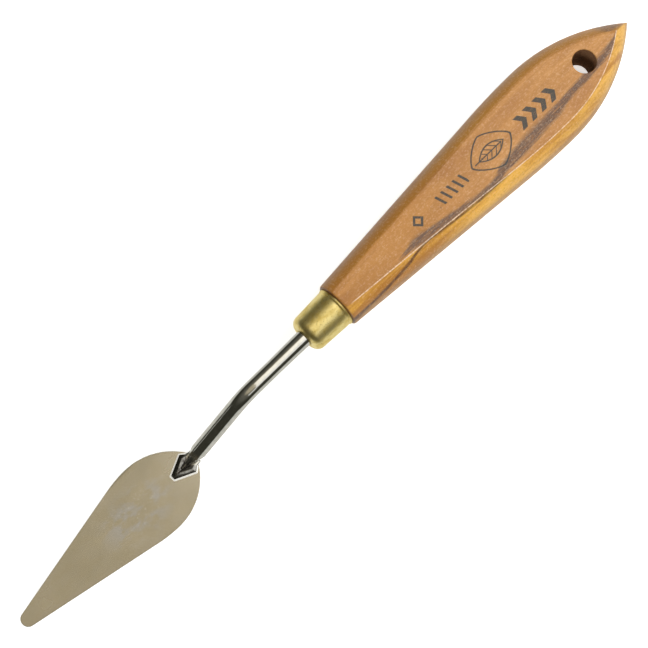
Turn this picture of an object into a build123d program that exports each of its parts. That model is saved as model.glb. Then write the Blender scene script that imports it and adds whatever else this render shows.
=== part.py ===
from build123d import *
import os
from math import acos, asin, atan2, cos, radians, sin, sqrt, tan

# Painting knife: a wooden handle, a brass ferrule, a cranked steel shank with an arrowhead foot,
# and a thin pointed blade brazed under the foot. Millimetres.
# X runs along the knife with the handle's tip at +X and the blade's tip at -X, Y is its width and Z is up.
# The pieces are drawn with X = 0 at the ferrule's mouth and Z = 0 under the blade,
# and are then moved so that X = 0 is the middle of the knife's length.

# Handle
handle_length = 101.2        # ferrule shoulder to pointed tip
handle_width = 22.0          # at the belly
handle_thickness = 11.6      # between the two parallel flats
shoulder_step = 0.8          # wood standing proud of the ferrule's rim
belly_to_tip = 30.2          # widest point to pointed tip
belly_radius = 190.0         # long curve that runs into the widest point
flank_inset = 3.65           # from the outline in to the edge of each flat
shoulder_rounding = 0.6
hang_hole_diameter = 6.0
hang_hole_to_tip = 16.7

# Ferrule
ferrule_length = 11.0
ferrule_mouth_diameter = 9.4
ferrule_rim_diameter = 10.4
ferrule_wall = 0.5
ferrule_nose_radius = 2.0
ferrule_bead_width = 0.8
ferrule_bead_height = 0.15
tenon_clearance = 0.02       # wood to brass, all round and at the tenon's end

# Shank
shank_diameter = 4.0
neck_thickening = 0.3        # on the diameter, where the shank leaves the ferrule
neck_taper_length = 10.0
neck_clearance = 0.05        # steel to the edge of the ferrule's hole
neck_length = 19.8           # ferrule mouth to the corner of the first bend
crank_drop = 16.0            # handle axis down to the shank's axis at the foot
crank_angle = 45.0
upper_bend_radius = 8.0
tang_depth = 40.0            # from the handle's shoulder into the wood
tang_point_length = 5.0
tang_point_diameter = 1.6
drill_point_angle = 118.0    # bottom of the drilled bore
glue_gap = 0.15              # round the tang, filled with glue
glue_end_gap = 1.5           # past the tang's point

# Foot: the forged arrowhead at the shank's end
foot_length = 7.3            # lower corner of the crank to the blunt nose
foot_nose_width = 1.2
foot_barb_overhang = 0.9     # beyond the round rod on each side
foot_barb_to_nose = 5.0
foot_barb_back = 1.1         # barb tip to where its back edge meets the shank
foot_tail_length = 1.5       # narrowing tail under the rod
foot_tail_narrowing = 0.2    # on each side
foot_wall_height = 0.45
foot_flat = 0.6              # forged off the underside of the round rod
# Corners of the forged crest: back from the nose, half width, height over the underside
foot_crest = [(1.4, 0.12, 1.05), (4.75, 1.8, 1.0), (5.9, 1.4, 0.65), (7.2, 1.35, 0.65)]
foot_notch = (3.5, 0.6)      # middle of the notch between the barbs: back from the nose, height
leg_end_before_corner = 1.3   # where the round rod starts to narrow, before the crank's lower corner
# Rod sinking into the foot: past the lower corner, then height over the underside and diameter,
# both as shares of the shank's diameter
rod_end = [(0.15, 0.4125, 0.75), (1.45, 0.2875, 0.45), (2.85, 0.2375, 0.275), (4.3, 0.2125, 0.15)]

# Blade
blade_length = 55.8
blade_width = 18.8
blade_thickness = 0.5
blade_heel_to_foot = 0.7     # heel edge from the lower corner of the crank
blade_widest_from_heel = 13.4
blade_heel_radius = 16.0
blade_shoulder_radius = 32.0
blade_nose_radius = 1.9

# Braze
braze_film = 0.1             # between the blade and the foot
braze_bead = 0.35            # fillet round the foot
braze_height = 0.36
braze_slope = 40.0

# Places that follow from the sizes above
half_thickness = handle_thickness / 2
shoulder_width = ferrule_rim_diameter + 2 * shoulder_step
neck_diameter = shank_diameter + neck_thickening
handle_tip_x = ferrule_length + handle_length
hang_hole_x = handle_tip_x - hang_hole_to_tip
foot_underside_z = blade_thickness + braze_film
foot_axis_z = foot_underside_z + shank_diameter / 2 - foot_flat
handle_axis_z = foot_axis_z + crank_drop
crank_slope = tan(radians(crank_angle))
lower_corner_x = -neck_length - crank_drop / crank_slope
crank_top = Vector(-neck_length, 0, handle_axis_z)
leg_end = Vector(
    lower_corner_x + leg_end_before_corner, 0, foot_axis_z + leg_end_before_corner * crank_slope
)
foot_nose_x = lower_corner_x - foot_length
foot_barb_x = foot_nose_x + foot_barb_to_nose
foot_root_x = foot_barb_x + foot_barb_back
foot_tail_x = foot_root_x + foot_tail_length
blade_heel_x = lower_corner_x - blade_heel_to_foot
blade_tip_x = blade_heel_x - blade_length
frame_shift = Pos(X=-(handle_tip_x + blade_tip_x) / 2)


def mirrored_face(upper_edges):
    """Face between a run of edges above the X axis and its mirror image below."""
    return make_face(upper_edges + [edge.mirror(Plane.XZ) for edge in upper_edges])


def handle_edges():
    """Upper half of the handle's outline: tapered side, belly curve and tail curve."""
    half_width = handle_width / 2
    tail_radius = (belly_to_tip**2 + half_width**2) / (2 * half_width)
    belly = Vector(handle_tip_x - belly_to_tip, half_width)
    belly_centre = belly - Vector(0, belly_radius)
    start = Vector(ferrule_length, shoulder_width / 2)
    reach = start - belly_centre
    turn = atan2(reach.Y, reach.X) - acos(belly_radius / reach.length)
    belly_start = belly_centre + Vector(cos(turn), sin(turn)) * belly_radius
    return [
        Line(start, belly_start),
        RadiusArc(belly_start, belly, belly_radius),
        RadiusArc(belly, (handle_tip_x, 0), tail_radius),
    ]


def flank_cutter():
    """Waste swept along one side of the handle, which leaves a rounded flank between the flats."""
    overrun = 3.0                # past both ends of the outline and outside it
    clear_of_flats = 1.0
    edges = handle_edges()
    run_in = Line(edges[0] @ 0 - (edges[0] % 0) * overrun, edges[0] @ 0)
    run_out = Line(edges[-1] @ 1, edges[-1] @ 1 + (edges[-1] % 1) * overrun)
    path = Wire([run_in, *edges, run_out])
    flank_radius = (half_thickness**2 + flank_inset**2) / (2 * flank_inset)
    past_flat = flank_inset + clear_of_flats * half_thickness / (flank_radius - flank_inset)
    above = half_thickness + clear_of_flats
    top = (flank_inset, half_thickness)
    bottom = (flank_inset, -half_thickness)
    waste = Polyline(
        top,
        (past_flat, above),
        (-overrun, above),
        (-overrun, -above),
        (past_flat, -above),
        bottom,
    )
    section = make_face([*waste.edges(), ThreePointArc(bottom, (0, 0), top)])
    across = Plane(origin=path @ 0, x_dir=(path % 0).cross(Vector(0, 0, 1)), z_dir=-(path % 0))
    return sweep(across * section, path=path)


def cavity_radius(x):
    """Inside radius of the ferrule's cone at a distance from its mouth."""
    spread = (ferrule_rim_diameter - ferrule_mouth_diameter) / 2
    return ferrule_mouth_diameter / 2 + spread * x / ferrule_length - ferrule_wall


def turned(*points):
    """Solid of revolution about the knife's axis, from points given as (x, radius)."""
    profile = make_face(Polyline(*points, close=True))
    return Pos(Z=handle_axis_z) * revolve(profile, Axis.X)


def tang_bore():
    """Blind drilled bore in the tenon and the handle, for the tang and its glue."""
    radius = shank_diameter / 2 + glue_gap
    start = ferrule_wall + tenon_clearance
    end = ferrule_length + tang_depth + glue_end_gap
    drill_cone = radius / tan(radians(drill_point_angle / 2))
    return turned((start, 0), (start, radius), (end, radius), (end + drill_cone, 0))


def tenon():
    """Round tenon that fills the ferrule."""
    start = ferrule_wall + tenon_clearance
    into_handle = ferrule_length + shoulder_rounding
    return turned(
        (start, 0),
        (start, ferrule_mouth_diameter / 2 - ferrule_nose_radius),
        (ferrule_nose_radius, cavity_radius(ferrule_nose_radius) - tenon_clearance),
        (ferrule_length, cavity_radius(ferrule_length) - tenon_clearance),
        (into_handle, cavity_radius(ferrule_length) - tenon_clearance),
        (into_handle, 0),
    )


def make_handle():
    """Wooden handle: two flats, rounded flanks, pointed tip, tenon, tang bore and hang hole."""
    shoulder = Line((ferrule_length, 0), (ferrule_length, shoulder_width / 2))
    outline = mirrored_face([shoulder, *handle_edges()])
    waste = flank_cutter()
    body = extrude(outline, half_thickness, both=True) - waste - waste.mirror(Plane.XZ)
    front = body.faces().sort_by(Axis.X)[0]
    body = fillet(front.edges(), shoulder_rounding)
    hole = Pos(X=hang_hole_x) * Cylinder(hang_hole_diameter / 2, 2 * handle_thickness)
    body = Pos(Z=handle_axis_z) * (body - hole)
    return body + tenon() - tang_bore()


def make_ferrule():
    """Drawn brass cup with a rounded nose, a hole for the shank and a small beaded rim."""
    mouth = ferrule_mouth_diameter / 2
    hole = neck_diameter / 2 + neck_clearance
    bead_start = ferrule_length - ferrule_bead_width
    rim = cavity_radius(ferrule_length) + ferrule_wall
    before_bead = cavity_radius(bead_start) + ferrule_wall
    bead_top = (ferrule_length - ferrule_bead_width / 2, rim + ferrule_bead_height)
    nose_end = cavity_radius(ferrule_nose_radius) + ferrule_wall
    inner_nose = ferrule_nose_radius - ferrule_wall
    nose_turn = 1 - sqrt(0.5)
    profile = make_face(
        [
            Line((0, hole), (0, mouth - ferrule_nose_radius)),
            ThreePointArc(
                (0, mouth - ferrule_nose_radius),
                (ferrule_nose_radius * nose_turn, nose_end - ferrule_nose_radius * nose_turn),
                (ferrule_nose_radius, nose_end),
            ),
            Line((ferrule_nose_radius, nose_end), (bead_start, before_bead)),
            ThreePointArc((bead_start, before_bead), bead_top, (ferrule_length, rim)),
            Line((ferrule_length, rim), (ferrule_length, cavity_radius(ferrule_length))),
            Line(
                (ferrule_length, cavity_radius(ferrule_length)),
                (ferrule_nose_radius, cavity_radius(ferrule_nose_radius)),
            ),
            ThreePointArc(
                (ferrule_nose_radius, cavity_radius(ferrule_nose_radius)),
                (
                    ferrule_wall + inner_nose * nose_turn,
                    cavity_radius(ferrule_nose_radius) - inner_nose * nose_turn,
                ),
                (ferrule_wall, mouth - ferrule_nose_radius),
            ),
            Line((ferrule_wall, mouth - ferrule_nose_radius), (ferrule_wall, hole)),
            Line((ferrule_wall, hole), (0, hole)),
        ]
    )
    return Pos(Z=handle_axis_z) * revolve(profile, Axis.X)


def shank_rod():
    """Round rod from the tang, through the upper bend of the crank, down to the foot."""
    point_root = Vector(ferrule_length + tang_depth - tang_point_length, 0, handle_axis_z)
    path = FilletPolyline(point_root, crank_top, leg_end, radius=upper_bend_radius)
    section = Plane(origin=path @ 0, z_dir=path % 0) * Circle(shank_diameter / 2)
    return sweep(section, path=path)


def tang_point():
    """Tapered end of the tang, which is driven into the bore."""
    end = ferrule_length + tang_depth
    root = end - tang_point_length
    return turned((root, 0), (root, shank_diameter / 2), (end, tang_point_diameter / 2), (end, 0))


def neck():
    """Slight thickening of the shank where it leaves the ferrule."""
    return turned(
        (ferrule_wall, 0),
        (ferrule_wall, neck_diameter / 2),
        (0, neck_diameter / 2),
        (-neck_taper_length, shank_diameter / 2),
        (-neck_taper_length, 0),
    )


def foot_corners():
    """Corners of the arrowhead on its +Y side, from the blunt nose to the tail under the rod."""
    return [
        (foot_nose_x, foot_nose_width / 2),
        (foot_barb_x, shank_diameter / 2 + foot_barb_overhang),
        (foot_root_x, shank_diameter / 2),
        (foot_tail_x, shank_diameter / 2 - foot_tail_narrowing),
    ]


def all_round(corners):
    """Closed ring of corners, from those on the +Y side."""
    return corners + [(x, -y, z) for x, y, z in reversed(corners)]


def arrowhead():
    """Forged arrowhead: upright wall, crest from the nose to both barbs, notch for the rod."""
    under = all_round([(x, y, foot_underside_z) for x, y in foot_corners()])
    plate = extrude(make_face(Polyline(*under, close=True)), foot_wall_height)
    rim = [(x, y, z + foot_wall_height) for x, y, z in under]
    crest = all_round([(foot_nose_x + x, y, foot_underside_z + height) for x, y, height in foot_crest])
    notch_x, notch_height = foot_notch
    notch = (foot_nose_x + notch_x, 0, foot_underside_z + notch_height)
    triangles = []
    for index in range(len(rim)):
        after = (index + 1) % len(rim)
        triangles.append((rim[index], rim[after], crest[after]))
        triangles.append((rim[index], crest[after], crest[index]))
        triangles.append((crest[index], crest[after], notch))
    faces = [make_face(Polyline(*corners, close=True)).face() for corners in triangles]
    base = make_face(Polyline(*rim, close=True)).face()
    return plate + Solid(Shell([*faces, base]))


def rod_into_foot():
    """End of the round rod, which narrows as it sinks into the arrowhead."""
    places = [leg_end]
    diameters = [shank_diameter]
    for past_corner, height_share, diameter_share in rod_end:
        height = height_share * shank_diameter
        places.append(Vector(lower_corner_x - past_corner, 0, foot_underside_z + height))
        diameters.append(diameter_share * shank_diameter)
    before = [crank_top, *places[:-1]]
    after = [leg_end, *places[2:], places[-1]]
    facings = [end - start for start, end in zip(before, after)]
    sections = [
        Plane(origin=place, z_dir=facing) * Circle(diameter / 2)
        for place, facing, diameter in zip(places, facings, diameters)
    ]
    return loft(sections)


def make_shank():
    """Steel shank: tang, neck, crank and forged foot in one piece, flat under the foot."""
    whole = shank_rod() + tang_point() + neck() + rod_into_foot() + arrowhead()
    under = Plane(origin=(0, 0, foot_underside_z))
    return split(whole, bisect_by=under, keep=Keep.TOP)


def blade_edges():
    """Upper half of the blade's outline: blunt heel, round shoulder, straight edge, round nose."""
    half_width = blade_width / 2
    widest_x = blade_heel_x - blade_widest_from_heel
    heel_centre = Vector(widest_x, half_width - blade_heel_radius)
    heel_drop = sqrt(blade_heel_radius**2 - blade_widest_from_heel**2)
    heel = Vector(blade_heel_x, heel_centre.Y + heel_drop)
    widest = Vector(widest_x, half_width)
    shoulder_centre = Vector(widest_x, half_width - blade_shoulder_radius)
    nose_centre = Vector(blade_tip_x + blade_nose_radius, 0)
    between = nose_centre - shoulder_centre
    lean = asin((blade_shoulder_radius - blade_nose_radius) / between.length)
    square_on = atan2(between.Y, between.X) - (radians(90) - lean)
    out = Vector(cos(square_on), sin(square_on))
    straight_start = shoulder_centre + out * blade_shoulder_radius
    straight_end = nose_centre + out * blade_nose_radius
    half_turn = (atan2(out.Y, out.X) + radians(180)) / 2
    nose_middle = nose_centre + Vector(cos(half_turn), sin(half_turn)) * blade_nose_radius
    return [
        Line((blade_heel_x, 0), heel),
        RadiusArc(heel, widest, -blade_heel_radius),
        RadiusArc(widest, straight_start, -blade_shoulder_radius),
        Line(straight_start, straight_end),
        ThreePointArc(straight_end, nose_middle, (blade_tip_x, 0)),
    ]


def make_blade():
    """Thin spring-steel blade."""
    return extrude(mirrored_face(blade_edges()), blade_thickness)


def make_braze():
    """Braze between the blade and the foot, with a fillet round the foot's edge."""
    arrow = [(x, y, blade_thickness) for x, y in foot_corners()[:-1]]
    footprint = make_face(Polyline(*all_round(arrow), close=True))
    base = offset(footprint, braze_bead)
    bead = extrude(base, braze_height, taper=braze_slope)
    over_blade = Pos(Z=blade_thickness) * extrude(mirrored_face(blade_edges()), 2 * braze_height)
    return (bead & over_blade) - make_shank()


def make_tang_glue():
    """Glue that fills the bore round the tang."""
    return tang_bore() - make_shank()


def main():
    os.makedirs("parts", exist_ok=True)
    pieces = {
        "handle": make_handle(),
        "ferrule": make_ferrule(),
        "shank": make_shank(),
        "blade": make_blade(),
        "braze": make_braze(),
        "tang_glue": make_tang_glue(),
    }
    for name, piece in pieces.items():
        export_step(frame_shift * piece, f"parts/{name}.step")


main()
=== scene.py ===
import math

import bpy
from mathutils import Matrix, Vector


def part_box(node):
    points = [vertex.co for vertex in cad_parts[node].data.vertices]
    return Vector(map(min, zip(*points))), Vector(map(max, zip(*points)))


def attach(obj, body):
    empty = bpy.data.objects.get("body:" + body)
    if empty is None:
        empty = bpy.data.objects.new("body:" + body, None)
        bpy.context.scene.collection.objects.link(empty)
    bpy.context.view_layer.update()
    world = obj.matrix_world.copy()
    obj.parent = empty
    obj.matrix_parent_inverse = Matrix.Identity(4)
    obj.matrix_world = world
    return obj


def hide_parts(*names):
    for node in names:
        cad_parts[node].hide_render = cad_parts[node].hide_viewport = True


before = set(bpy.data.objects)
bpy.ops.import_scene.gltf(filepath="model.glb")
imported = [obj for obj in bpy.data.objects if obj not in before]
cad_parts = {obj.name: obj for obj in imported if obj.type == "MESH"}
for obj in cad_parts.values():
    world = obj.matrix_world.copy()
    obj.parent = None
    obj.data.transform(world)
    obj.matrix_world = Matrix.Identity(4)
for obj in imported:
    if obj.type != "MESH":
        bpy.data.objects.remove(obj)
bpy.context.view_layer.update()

mm = 0.001
cutThreshold = 1e-7                           # verts this near a cutting plane lie on it
touching = 0.01 * mm                          # edges this near a plane or a circle lie on it
alongX = (0, math.radians(90), 0)             # turns a circle or a cylinder to face along the knife
print("painting knife: frame loaded")

handleLow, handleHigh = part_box("handle")
ferruleLow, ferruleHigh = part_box("ferrule")
shankLow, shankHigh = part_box("shank")
bladeLow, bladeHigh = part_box("blade")
axisZ = (handleLow.z + handleHigh.z) / 2      # height of the handle's middle line
shoulderX = ferruleHigh.x                     # where wood meets brass
mouthX = ferruleLow.x                         # where the rod comes out


def deselectAll():
    if bpy.context.object and bpy.context.object.mode != "OBJECT":
        bpy.ops.object.mode_set(mode="OBJECT")
    bpy.ops.object.select_all(action="DESELECT")


def focusOn(thing):
    deselectAll()
    thing.select_set(True)
    bpy.context.view_layer.objects.active = thing


def editAll(thing):
    # go into edit mode with everything selected
    focusOn(thing)
    bpy.ops.object.mode_set(mode="EDIT")
    bpy.ops.mesh.select_all(action="SELECT")


def pick(thing, kind, test):
    # go into edit mode with only the edges or faces that pass the test selected
    focusOn(thing)
    mesh = thing.data
    for group in (mesh.vertices, mesh.edges, mesh.polygons):
        group.foreach_set("select", [False] * len(group))
    if kind == "EDGE":
        for edge in mesh.edges:
            edge.select = all(test(mesh.vertices[i].co) for i in edge.vertices)
    else:
        for face in mesh.polygons:
            face.select = test(face.center, face.normal)
    bpy.ops.object.mode_set(mode="EDIT")
    bpy.ops.mesh.select_mode(type=kind)


def leaveEdit():
    bpy.ops.object.mode_set(mode="OBJECT")


def applyModifier(thing, kind, **settings):
    focusOn(thing)
    modifier = thing.modifiers.new(kind.title(), kind)
    for key, value in settings.items():
        setattr(modifier, key, value)
    bpy.ops.object.modifier_apply(modifier=modifier.name)


def combine(thing, operation, tool):
    applyModifier(thing, "BOOLEAN", solver="MANIFOLD", operation=operation, object=tool)
    bpy.data.objects.remove(tool)


def addCylinder(radius, length, place, rotation, vertices):
    deselectAll()
    bpy.ops.mesh.primitive_cylinder_add(vertices=vertices, radius=radius, depth=length, location=place,
                                        rotation=rotation)
    return bpy.context.object


def toMesh(curve):
    focusOn(curve)
    bpy.ops.object.convert(target="MESH")
    return bpy.context.object


def cleanMesh(thing, distance=0.005 * mm):
    editAll(thing)
    bpy.ops.mesh.remove_doubles(threshold=distance)
    bpy.ops.mesh.normals_make_consistent(inside=False)
    leaveEdit()


def settle(thing, name, smoothAngle=30):
    # name it, put its place into its mesh and smooth what isn't a real edge
    focusOn(thing)
    thing.name = name
    thing.data.name = name
    bpy.ops.object.transform_apply(location=True, rotation=True, scale=True)
    bpy.ops.object.shade_smooth_by_angle(angle=math.radians(smoothAngle))


def bezierPath(points, flat=True, resolution=24):
    # points: (place, handle before, handle after)
    deselectAll()
    bpy.ops.curve.primitive_bezier_curve_add()
    path = bpy.context.object
    path.data.dimensions = "2D" if flat else "3D"
    path.data.resolution_u = resolution
    spline = path.data.splines[0]
    spline.bezier_points.add(len(points) - 2)
    for knot, (place, before, after) in zip(spline.bezier_points, points):
        knot.handle_left_type = knot.handle_right_type = "FREE"
        knot.co = place
        knot.handle_left = before
        knot.handle_right = after
    return path


def arcHandles(start, end, centre):
    # handles that make one bezier piece follow a circle about centre
    a, b = start - centre, end - centre
    turn = a.angle(b)
    reach = 4 / 3 * math.tan(turn / 4)
    side = a.cross(b).normalized()
    return start + side.cross(a) * reach, end - side.cross(b) * reach


handleLook = dict(
    width=22.0 * mm,
    thickness=11.6 * mm,
    shoulderWidth=12.0 * mm,
    bellyToTip=30.2 * mm,
    bellyRadius=190 * mm,
    runOut=4 * mm,               # the side goes on past the shoulder and the tip, to be cut off
    tailRunOut=8 * mm,
    flankInset=3.65 * mm,
    flankSteps=12,
    arrisRadius=0.8 * mm,        # worn edge between flat and flank
    arrisSteps=6,
    flatReach=13 * mm,           # past the middle, where the two halves are cut
    flatStart=0.5 * mm,
    shoulderRound=0.6 * mm,
    holeRadius=3.0 * mm,
    holeToTip=16.7 * mm,
    holeRound=0.25 * mm,
    drillLength=30 * mm,
    tenonRadius=4.65 * mm,
    tenonLength=10.4 * mm,
    tenonSink=0.3 * mm,
    tenonRound=1.6 * mm,
    boreRadius=2.15 * mm,
    boreLength=54 * mm,
    boreBefore=12 * mm,          # how far in front of the shoulder the bore starts
)


def handlePath(size):
    # one long side of the handle: straight taper, belly curve and tail curve
    tip = Vector((handleHigh.x, 0, 0))
    halfWidth = size["width"] / 2
    belly = Vector((tip.x - size["bellyToTip"], halfWidth, 0))
    bellyCentre = belly - Vector((0, size["bellyRadius"], 0))
    tailRadius = (size["bellyToTip"] ** 2 + halfWidth ** 2) / (2 * halfWidth)
    tailCentre = belly - Vector((0, tailRadius, 0))
    start = Vector((shoulderX, size["shoulderWidth"] / 2, 0))
    reach = start - bellyCentre
    turn = math.atan2(reach.y, reach.x) - math.acos(size["bellyRadius"] / reach.length)
    bellyStart = bellyCentre + Vector((math.cos(turn), math.sin(turn), 0)) * size["bellyRadius"]
    along = (bellyStart - start).normalized()
    before = start - along * size["runOut"]
    outward = tip - tailCentre
    tailRun = Vector((outward.y, -outward.x, 0)).normalized()
    after = tip + tailRun * size["tailRunOut"]
    bellyOut, bellyIn = arcHandles(bellyStart, belly, bellyCentre)
    tailOut, tailIn = arcHandles(belly, tip, tailCentre)
    return bezierPath([
        (before, before, before.lerp(bellyStart, 1 / 3)),
        (bellyStart, before.lerp(bellyStart, 2 / 3), bellyOut),
        (belly, bellyIn, tailOut),
        (tip, tailIn, tip.lerp(after, 1 / 3)),
        (after, tip.lerp(after, 2 / 3), after),
    ])


def handleProfile(size):
    # half of the handle's section: inset from the outline against height
    top = size["thickness"] / 2
    inset = size["flankInset"]
    flankRadius = (top ** 2 + inset ** 2) / (2 * inset)
    worn = size["arrisRadius"]
    # the worn edge: a small circle that touches the flat and the flank circle
    centreZ = top - worn
    reach = flankRadius - worn
    centreInset = flankRadius - math.sqrt(reach ** 2 - centreZ ** 2)
    quarter = math.radians(90)
    touch = math.atan2(centreZ, flankRadius - centreInset)          # where it meets the flank
    points = [(size["flatReach"], top), (centreInset + size["flatStart"], top)]
    for step in range(size["arrisSteps"] + 1):
        angle = quarter + (touch - quarter) * step / size["arrisSteps"]
        points.append((centreInset - worn * math.cos(angle), centreZ + worn * math.sin(angle)))
    for step in range(1, size["flankSteps"] + 1):
        angle = touch * (1 - step / size["flankSteps"])
        points.append((flankRadius - flankRadius * math.cos(angle), flankRadius * math.sin(angle)))
    points += [(x, -z) for x, z in reversed(points[:-1])]
    deselectAll()
    bpy.ops.curve.primitive_nurbs_path_add()
    profile = bpy.context.object
    profile.data.splines.clear()
    line = profile.data.splines.new("POLY")
    line.points.add(len(points) - 1)
    for knot, (x, z) in zip(line.points, points):
        knot.co = (x, z, 0, 1)
    return profile


def makeHandle(size):
    side = handlePath(size)
    profile = handleProfile(size)
    side.data.bevel_mode = "OBJECT"
    side.data.bevel_object = profile
    handle = toMesh(side)
    bpy.data.objects.remove(profile)
    editAll(handle)
    bpy.ops.mesh.bisect(plane_co=(0, 0, 0), plane_no=(0, 1, 0), clear_inner=True, threshold=cutThreshold)
    bpy.ops.mesh.select_all(action="SELECT")
    bpy.ops.mesh.bisect(plane_co=(shoulderX, 0, 0), plane_no=(1, 0, 0), clear_inner=True,
                        threshold=cutThreshold)
    leaveEdit()
    applyModifier(handle, "MIRROR", use_axis=(False, True, False), use_clip=True, merge_threshold=touching)
    cleanMesh(handle)
    pick(handle, "EDGE", atShoulder)
    bpy.ops.mesh.edge_face_add()
    leaveEdit()
    cleanMesh(handle)
    top = size["thickness"] / 2
    pick(handle, "FACE", lambda co, normal: abs(normal.z) > 0.9999 and abs(abs(co.z) - top) < touching / 10)
    bpy.ops.mesh.dissolve_limited(angle_limit=math.radians(0.1))
    leaveEdit()
    pick(handle, "EDGE", atShoulder)
    bpy.ops.mesh.bevel(offset=size["shoulderRound"], segments=4, affect="EDGES")
    leaveEdit()
    handle.location.z = axisZ
    bpy.ops.object.transform_apply(location=True, rotation=True, scale=True)
    return handle


def atShoulder(co):
    return abs(co.x - shoulderX) < touching


def drillHole(handle, size):
    # the hang hole goes through both flats, and its rims are broken
    place = Vector((handleHigh.x - size["holeToTip"], 0, axisZ))
    combine(handle, "DIFFERENCE", addCylinder(size["holeRadius"], size["drillLength"], place, (0, 0, 0), 96))
    top = size["thickness"] / 2
    pick(handle, "EDGE", lambda co: abs(abs(co.z - axisZ) - top) < touching
         and abs(math.hypot(co.x - place.x, co.y) - size["holeRadius"]) < 2 * touching)
    bpy.ops.mesh.bevel(offset=size["holeRound"], segments=3, affect="EDGES")
    leaveEdit()


def fitTenon(handle, size):
    # the round tenon that the ferrule is pressed on, and the bore for the tang
    tenonX = shoulderX + size["tenonSink"] - size["tenonLength"] / 2
    boreX = shoulderX - size["boreBefore"] + size["boreLength"] / 2
    tenon = addCylinder(size["tenonRadius"], size["tenonLength"], (tenonX, 0, axisZ), alongX, 64)
    pick(tenon, "EDGE", lambda co: co.z < 0)
    bpy.ops.mesh.bevel(offset=size["tenonRound"], segments=3, affect="EDGES")
    leaveEdit()
    combine(handle, "UNION", tenon)
    bore = addCylinder(size["boreRadius"], size["boreLength"], (boreX, 0, axisZ), alongX, 48)
    combine(handle, "DIFFERENCE", bore)


handle = makeHandle(handleLook)
drillHole(handle, handleLook)
fitTenon(handle, handleLook)
cleanMesh(handle, 0.001 * mm)
settle(handle, "handleWood", 35)
applyModifier(handle, "WEIGHTED_NORMAL", mode="FACE_AREA", weight=80, keep_sharp=True)
print("handle shaped:", len(handle.data.polygons), "faces")


ferruleLook = dict(
    mouthRadius=4.7 * mm,
    rimRadius=5.2 * mm,
    length=11.0 * mm,
    wall=0.5 * mm,
    noseRadius=2.0 * mm,
    beadWidth=0.75 * mm,
    beadHeight=0.15 * mm,
    beadSink=0.1 * mm,
    beadSteps=8,
    # behind the bead: (distance from it, depth under the cone)
    groove=[(0.12 * mm, 0.12 * mm), (0.35 * mm, 0.04 * mm)],
    sideStart=0.7 * mm,
    sideSteps=7,
    noseSteps=12,
    insideSteps=5,
    holeRadius=2.2 * mm,
    # the lip of the hole: (distance from the mouth, over the hole's radius)
    lip=[(0.0, 0.15 * mm), (0.05 * mm, 0.04 * mm), (0.18 * mm, 0.0)],
)


def ferruleRings(size):
    # (distance from the mouth, radius) right round the wall, starting at the rim
    length, wall, nose = size["length"], size["wall"], size["noseRadius"]

    def coneRadius(x):
        return size["mouthRadius"] + (size["rimRadius"] - size["mouthRadius"]) * x / length

    rings = []
    bead = size["beadWidth"] / 2
    beadFoot = coneRadius(length) - size["beadSink"]
    for step in range(size["beadSteps"] + 1):
        angle = math.pi * step / size["beadSteps"]
        rings.append((length - bead + bead * math.cos(angle),
                      beadFoot + (size["beadHeight"] + size["beadSink"]) * math.sin(angle)))
    groove = length - size["beadWidth"]
    for back, depth in size["groove"]:
        rings.append((groove - back, coneRadius(groove) - depth))
    side = groove - size["sideStart"]
    for step in range(size["sideSteps"] + 1):
        x = side - (side - nose) * step / size["sideSteps"]
        rings.append((x, coneRadius(x)))
    # rounded nose, the hole and back along the inside
    noseFoot = coneRadius(nose) - nose
    for step in range(1, size["noseSteps"] + 1):
        angle = math.radians(90) * step / size["noseSteps"]
        rings.append((nose - nose * math.sin(angle), noseFoot + nose * math.cos(angle)))
    for x, wider in size["lip"] + [(wall, 0.0)]:
        rings.append((x, size["holeRadius"] + wider))
    rings.append((wall, noseFoot))
    inner = nose - wall
    for step in range(1, size["insideSteps"] + 1):
        angle = math.radians(90) * (1 - step / size["insideSteps"])
        rings.append((nose - inner * math.sin(angle), noseFoot + inner * math.cos(angle)))
    rings.append((length, coneRadius(length) - wall))
    return rings


def pullRings(rings, startX, segments=96):
    # a circle that is extruded and scaled from ring to ring, and closed on itself
    deselectAll()
    firstX, firstRadius = rings[0]
    bpy.ops.mesh.primitive_circle_add(vertices=segments, radius=firstRadius,
                                      location=(startX + firstX, 0, axisZ), rotation=alongX)
    tube = bpy.context.object
    editAll(tube)
    x, radius = firstX, firstRadius
    for nextX, nextRadius in rings[1:] + rings[:1]:
        bpy.ops.mesh.extrude_region_move(TRANSFORM_OT_translate={"value": (nextX - x, 0, 0)})
        scale = nextRadius / radius
        bpy.ops.transform.resize(value=(1, scale, scale), center_override=(startX + nextX, 0, axisZ))
        x, radius = nextX, nextRadius
    leaveEdit()
    cleanMesh(tube, 0.002 * mm)
    return tube


ferrule = pullRings(ferruleRings(ferruleLook), mouthX)
settle(ferrule, "ferruleBrass", 40)
print("ferrule spun:", len(ferrule.data.polygons), "faces")


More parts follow.
